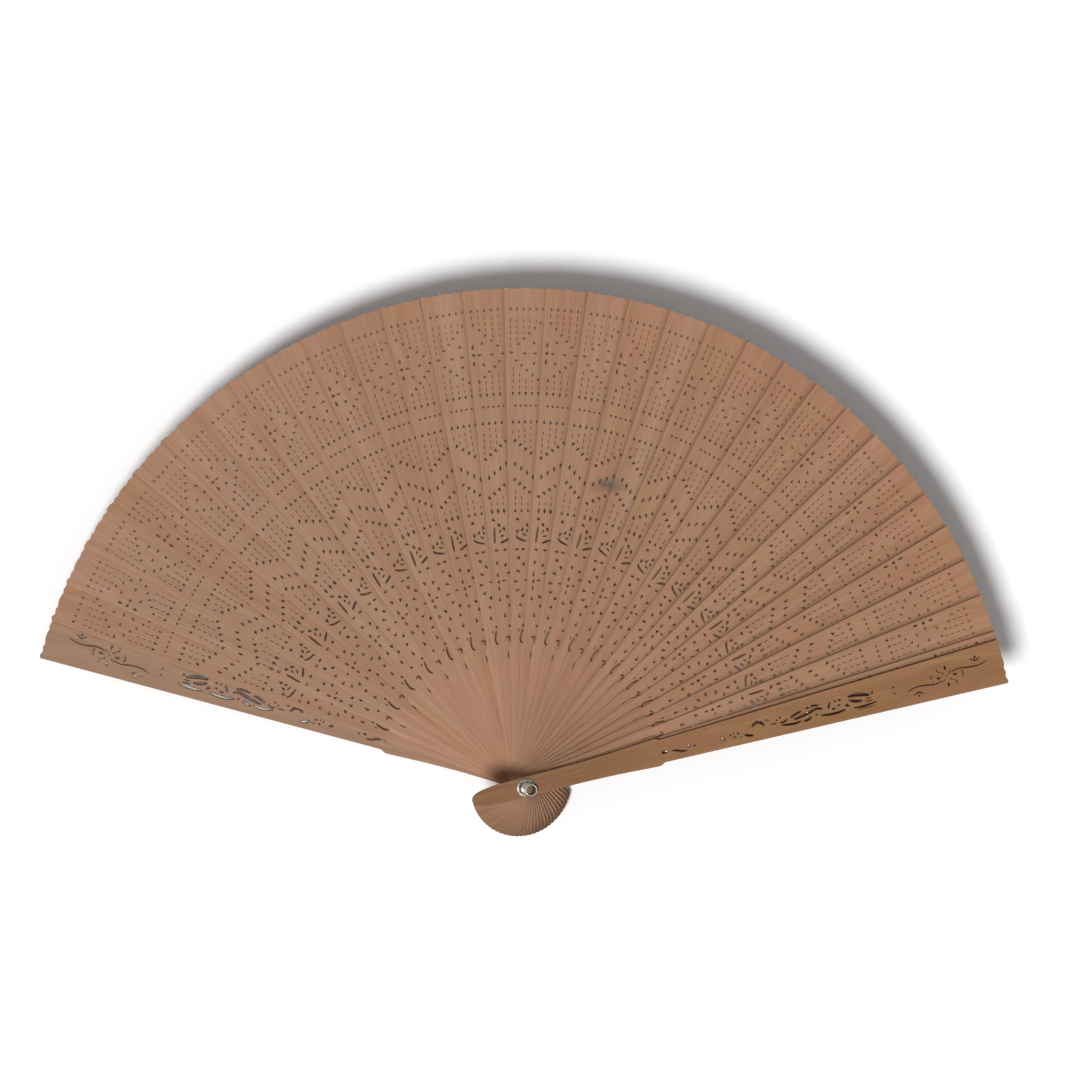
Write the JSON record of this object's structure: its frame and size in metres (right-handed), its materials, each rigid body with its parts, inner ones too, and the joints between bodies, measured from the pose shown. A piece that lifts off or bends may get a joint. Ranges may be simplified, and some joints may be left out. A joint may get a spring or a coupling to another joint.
{
  "type": "folding fan",
  "caption": "Wooden folding fan shown open: pierced thin sticks between two thicker guards, all turning on one metal rivet so that they fold into a flat stack.",
  "frame": {"origin": "centre of the flat underside of the rivet's back head, on the rivet's axis", "axes": "+Z along the rivet's axis from the back guard to the front guard, +Y along the middle of the open fan from rivet to tips, +X to the front guard's side"},
  "size_m": [0.349, 0.199, 0.0276],
  "materials": {
    "guard_wood": "smooth, sanded, unvarnished wood, a little darker and redder than the sticks",
    "stick_wood": "smooth, sanded, unvarnished pale brown wood with fine straight grain",
    "rivet_metal": "worn silvery metal"
  },
  "bodies": {
    "back_guard": {"back_guard": "guard_wood", "rivet": "rivet_metal", "back_washer": "rivet_metal", "front_washer": "rivet_metal"},
    "stick_01": {"stick_01": "stick_wood"},
    "stick_02": {"stick_02": "stick_wood"},
    "stick_03": {"stick_03": "stick_wood"},
    "stick_04": {"stick_04": "stick_wood"},
    "stick_05": {"stick_05": "stick_wood"},
    "stick_06": {"stick_06": "stick_wood"},
    "stick_07": {"stick_07": "stick_wood"},
    "stick_08": {"stick_08": "stick_wood"},
    "stick_09": {"stick_09": "stick_wood"},
    "stick_10": {"stick_10": "stick_wood"},
    "stick_11": {"stick_11": "stick_wood"},
    "stick_12": {"stick_12": "stick_wood"},
    "stick_13": {"stick_13": "stick_wood"},
    "stick_14": {"stick_14": "stick_wood"},
    "stick_15": {"stick_15": "stick_wood"},
    "stick_16": {"stick_16": "stick_wood"},
    "stick_17": {"stick_17": "stick_wood"},
    "stick_18": {"stick_18": "stick_wood"},
    "stick_19": {"stick_19": "stick_wood"},
    "stick_20": {"stick_20": "stick_wood"},
    "stick_21": {"stick_21": "stick_wood"},
    "stick_22": {"stick_22": "stick_wood"},
    "stick_23": {"stick_23": "stick_wood"},
    "stick_24": {"stick_24": "stick_wood"},
    "stick_25": {"stick_25": "stick_wood"},
    "stick_26": {"stick_26": "stick_wood"},
    "stick_27": {"stick_27": "stick_wood"},
    "stick_28": {"stick_28": "stick_wood"},
    "stick_29": {"stick_29": "stick_wood"},
    "stick_30": {"stick_30": "stick_wood"},
    "stick_31": {"stick_31": "stick_wood"},
    "front_guard": {"front_guard": "guard_wood"}
  },
  "joints": [
    {"name": "fan_fold", "type": "hinge", "parent": "back_guard", "child": "front_guard", "pos_m": [0, 0, 0.025], "axis": [0, 0, 1], "range_deg": [0, 148.37]},
    {"name": "turn_01", "type": "hinge", "parent": "back_guard", "child": "stick_01", "pos_m": [0, 0, 0.003], "axis": [0, 0, 1], "range_deg": [0, 4.61]},
    {"name": "turn_02", "type": "hinge", "parent": "back_guard", "child": "stick_02", "pos_m": [0, 0, 0.0037], "axis": [0, 0, 1], "range_deg": [0, 9.21]},
    {"name": "turn_03", "type": "hinge", "parent": "back_guard", "child": "stick_03", "pos_m": [0, 0, 0.0044], "axis": [0, 0, 1], "range_deg": [0, 14.21]},
    {"name": "turn_04", "type": "hinge", "parent": "back_guard", "child": "stick_04", "pos_m": [0, 0, 0.0051], "axis": [0, 0, 1], "range_deg": [0, 19.21]},
    {"name": "turn_05", "type": "hinge", "parent": "back_guard", "child": "stick_05", "pos_m": [0, 0, 0.0058], "axis": [0, 0, 1], "range_deg": [0, 24.21]},
    {"name": "turn_06", "type": "hinge", "parent": "back_guard", "child": "stick_06", "pos_m": [0, 0, 0.0065], "axis": [0, 0, 1], "range_deg": [0, 29.21]},
    {"name": "turn_07", "type": "hinge", "parent": "back_guard", "child": "stick_07", "pos_m": [0, 0, 0.0072], "axis": [0, 0, 1], "range_deg": [0, 34.21]},
    {"name": "turn_08", "type": "hinge", "parent": "back_guard", "child": "stick_08", "pos_m": [0, 0, 0.0079], "axis": [0, 0, 1], "range_deg": [0, 39.21]},
    {"name": "turn_09", "type": "hinge", "parent": "back_guard", "child": "stick_09", "pos_m": [0, 0, 0.0086], "axis": [0, 0, 1], "range_deg": [0, 44.05]},
    {"name": "turn_10", "type": "hinge", "parent": "back_guard", "child": "stick_10", "pos_m": [0, 0, 0.0093], "axis": [0, 0, 1], "range_deg": [0, 48.89]},
    {"name": "turn_11", "type": "hinge", "parent": "back_guard", "child": "stick_11", "pos_m": [0, 0, 0.01], "axis": [0, 0, 1], "range_deg": [0, 53.73]},
    {"name": "turn_12", "type": "hinge", "parent": "back_guard", "child": "stick_12", "pos_m": [0, 0, 0.0107], "axis": [0, 0, 1], "range_deg": [0, 58.57]},
    {"name": "turn_13", "type": "hinge", "parent": "back_guard", "child": "stick_13", "pos_m": [0, 0, 0.0114], "axis": [0, 0, 1], "range_deg": [0, 63.41]},
    {"name": "turn_14", "type": "hinge", "parent": "back_guard", "child": "stick_14", "pos_m": [0, 0, 0.0121], "axis": [0, 0, 1], "range_deg": [0, 68.25]},
    {"name": "turn_15", "type": "hinge", "parent": "back_guard", "child": "stick_15", "pos_m": [0, 0, 0.0128], "axis": [0, 0, 1], "range_deg": [0, 73.09]},
    {"name": "turn_16", "type": "hinge", "parent": "back_guard", "child": "stick_16", "pos_m": [0, 0, 0.0135], "axis": [0, 0, 1], "range_deg": [0, 77.93]},
    {"name": "turn_17", "type": "hinge", "parent": "back_guard", "child": "stick_17", "pos_m": [0, 0, 0.0142], "axis": [0, 0, 1], "range_deg": [0, 82.77]},
    {"name": "turn_18", "type": "hinge", "parent": "back_guard", "child": "stick_18", "pos_m": [0, 0, 0.0149], "axis": [0, 0, 1], "range_deg": [0, 87.61]},
    {"name": "turn_19", "type": "hinge", "parent": "back_guard", "child": "stick_19", "pos_m": [0, 0, 0.0156], "axis": [0, 0, 1], "range_deg": [0, 92.45]},
    {"name": "turn_20", "type": "hinge", "parent": "back_guard", "child": "stick_20", "pos_m": [0, 0, 0.0163], "axis": [0, 0, 1], "range_deg": [0, 97.29]},
    {"name": "turn_21", "type": "hinge", "parent": "back_guard", "child": "stick_21", "pos_m": [0, 0, 0.017], "axis": [0, 0, 1], "range_deg": [0, 102.13]},
    {"name": "turn_22", "type": "hinge", "parent": "back_guard", "child": "stick_22", "pos_m": [0, 0, 0.0177], "axis": [0, 0, 1], "range_deg": [0, 106.97]},
    {"name": "turn_23", "type": "hinge", "parent": "back_guard", "child": "stick_23", "pos_m": [0, 0, 0.0184], "axis": [0, 0, 1], "range_deg": [0, 111.46]},
    {"name": "turn_24", "type": "hinge", "parent": "back_guard", "child": "stick_24", "pos_m": [0, 0, 0.0191], "axis": [0, 0, 1], "range_deg": [0, 115.95]},
    {"name": "turn_25", "type": "hinge", "parent": "back_guard", "child": "stick_25", "pos_m": [0, 0, 0.0198], "axis": [0, 0, 1], "range_deg": [0, 120.44]},
    {"name": "turn_26", "type": "hinge", "parent": "back_guard", "child": "stick_26", "pos_m": [0, 0, 0.0205], "axis": [0, 0, 1], "range_deg": [0, 124.93]},
    {"name": "turn_27", "type": "hinge", "parent": "back_guard", "child": "stick_27", "pos_m": [0, 0, 0.0212], "axis": [0, 0, 1], "range_deg": [0, 129.42]},
    {"name": "turn_28", "type": "hinge", "parent": "back_guard", "child": "stick_28", "pos_m": [0, 0, 0.0219], "axis": [0, 0, 1], "range_deg": [0, 133.91]},
    {"name": "turn_29", "type": "hinge", "parent": "back_guard", "child": "stick_29", "pos_m": [0, 0, 0.0226], "axis": [0, 0, 1], "range_deg": [0, 138.4]},
    {"name": "turn_30", "type": "hinge", "parent": "back_guard", "child": "stick_30", "pos_m": [0, 0, 0.0233], "axis": [0, 0, 1], "range_deg": [0, 142.89]},
    {"name": "turn_31", "type": "hinge", "parent": "back_guard", "child": "stick_31", "pos_m": [0, 0, 0.024], "axis": [0, 0, 1], "range_deg": [0, 147.38]}
  ],
  "couplings": [
    {"joint": "turn_01", "follows": "fan_fold", "ratio": 0.031004},
    {"joint": "turn_02", "follows": "fan_fold", "ratio": 0.062007},
    {"joint": "turn_03", "follows": "fan_fold", "ratio": 0.095707},
    {"joint": "turn_04", "follows": "fan_fold", "ratio": 0.12941},
    {"joint": "turn_05", "follows": "fan_fold", "ratio": 0.16311},
    {"joint": "turn_06", "follows": "fan_fold", "ratio": 0.19681},
    {"joint": "turn_07", "follows": "fan_fold", "ratio": 0.2305},
    {"joint": "turn_08", "follows": "fan_fold", "ratio": 0.2642},
    {"joint": "turn_09", "follows": "fan_fold", "ratio": 0.29683},
    {"joint": "turn_10", "follows": "fan_fold", "ratio": 0.32945},
    {"joint": "turn_11", "follows": "fan_fold", "ratio": 0.36207},
    {"joint": "turn_12", "follows": "fan_fold", "ratio": 0.39469},
    {"joint": "turn_13", "follows": "fan_fold", "ratio": 0.42731},
    {"joint": "turn_14", "follows": "fan_fold", "ratio": 0.45993},
    {"joint": "turn_15", "follows": "fan_fold", "ratio": 0.49255},
    {"joint": "turn_16", "follows": "fan_fold", "ratio": 0.52517},
    {"joint": "turn_17", "follows": "fan_fold", "ratio": 0.55779},
    {"joint": "turn_18", "follows": "fan_fold", "ratio": 0.59042},
    {"joint": "turn_19", "follows": "fan_fold", "ratio": 0.62304},
    {"joint": "turn_20", "follows": "fan_fold", "ratio": 0.65566},
    {"joint": "turn_21", "follows": "fan_fold", "ratio": 0.68828},
    {"joint": "turn_22", "follows": "fan_fold", "ratio": 0.7209},
    {"joint": "turn_23", "follows": "fan_fold", "ratio": 0.75116},
    {"joint": "turn_24", "follows": "fan_fold", "ratio": 0.78142},
    {"joint": "turn_25", "follows": "fan_fold", "ratio": 0.81169},
    {"joint": "turn_26", "follows": "fan_fold", "ratio": 0.84195},
    {"joint": "turn_27", "follows": "fan_fold", "ratio": 0.87221},
    {"joint": "turn_28", "follows": "fan_fold", "ratio": 0.90247},
    {"joint": "turn_29", "follows": "fan_fold", "ratio": 0.93274},
    {"joint": "turn_30", "follows": "fan_fold", "ratio": 0.963},
    {"joint": "turn_31", "follows": "fan_fold", "ratio": 0.99326}
  ]
}
